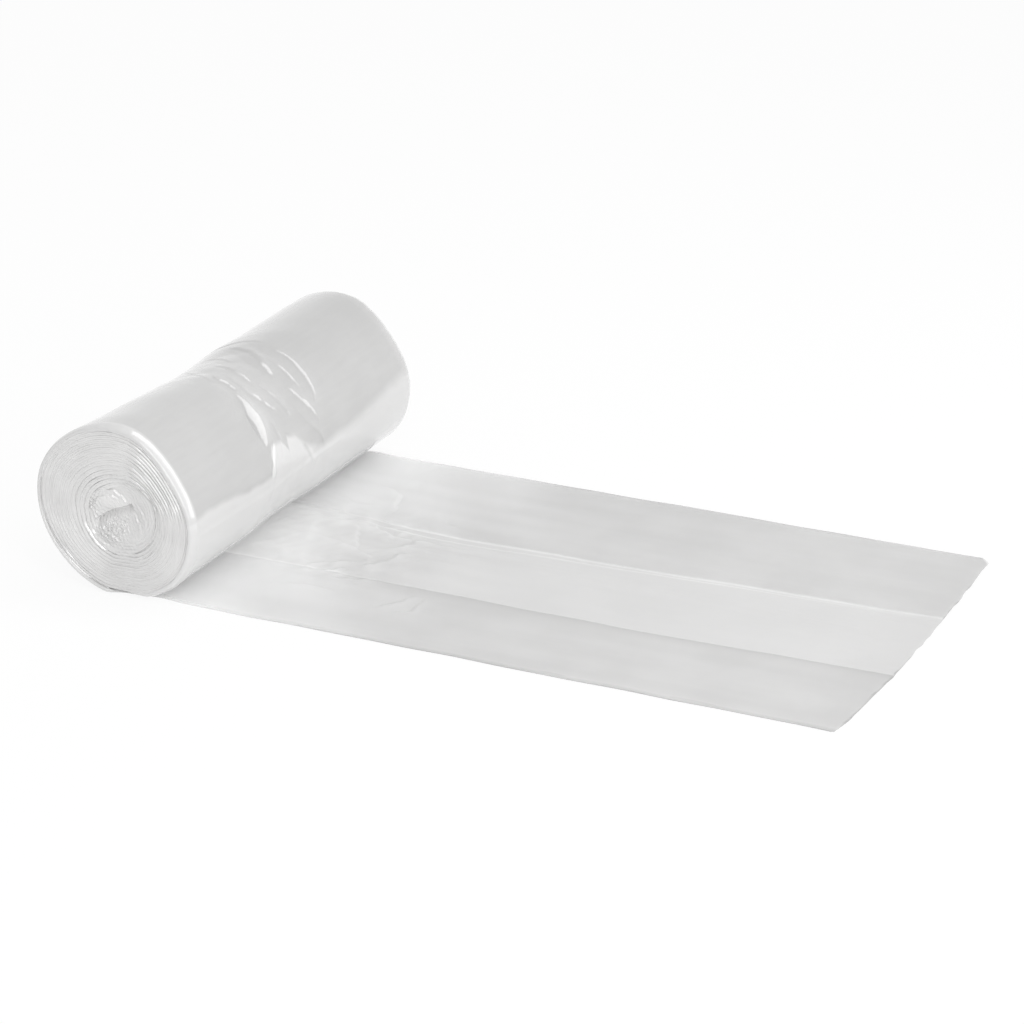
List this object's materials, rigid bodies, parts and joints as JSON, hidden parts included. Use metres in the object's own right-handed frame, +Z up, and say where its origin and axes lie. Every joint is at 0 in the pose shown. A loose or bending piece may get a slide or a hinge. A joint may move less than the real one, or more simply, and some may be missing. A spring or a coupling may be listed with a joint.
{
  "type": "bin bag roll",
  "caption": "Coreless roll of clear gusseted bin bags with the first bag unrolled flat beside it.",
  "frame": {"origin": "on the floor under the roll's axis, halfway along the roll", "axes": "+X towards the unrolled bag's free end, +Y along the roll's axis, +Z up"},
  "size_m": [0.5325, 0.298, 0.1126],
  "materials": {
    "clear_film": "satin"
  },
  "bodies": {
    "root": {"wound_bags": "clear_film", "first_bag": "clear_film"}
  },
  "joints": []
}
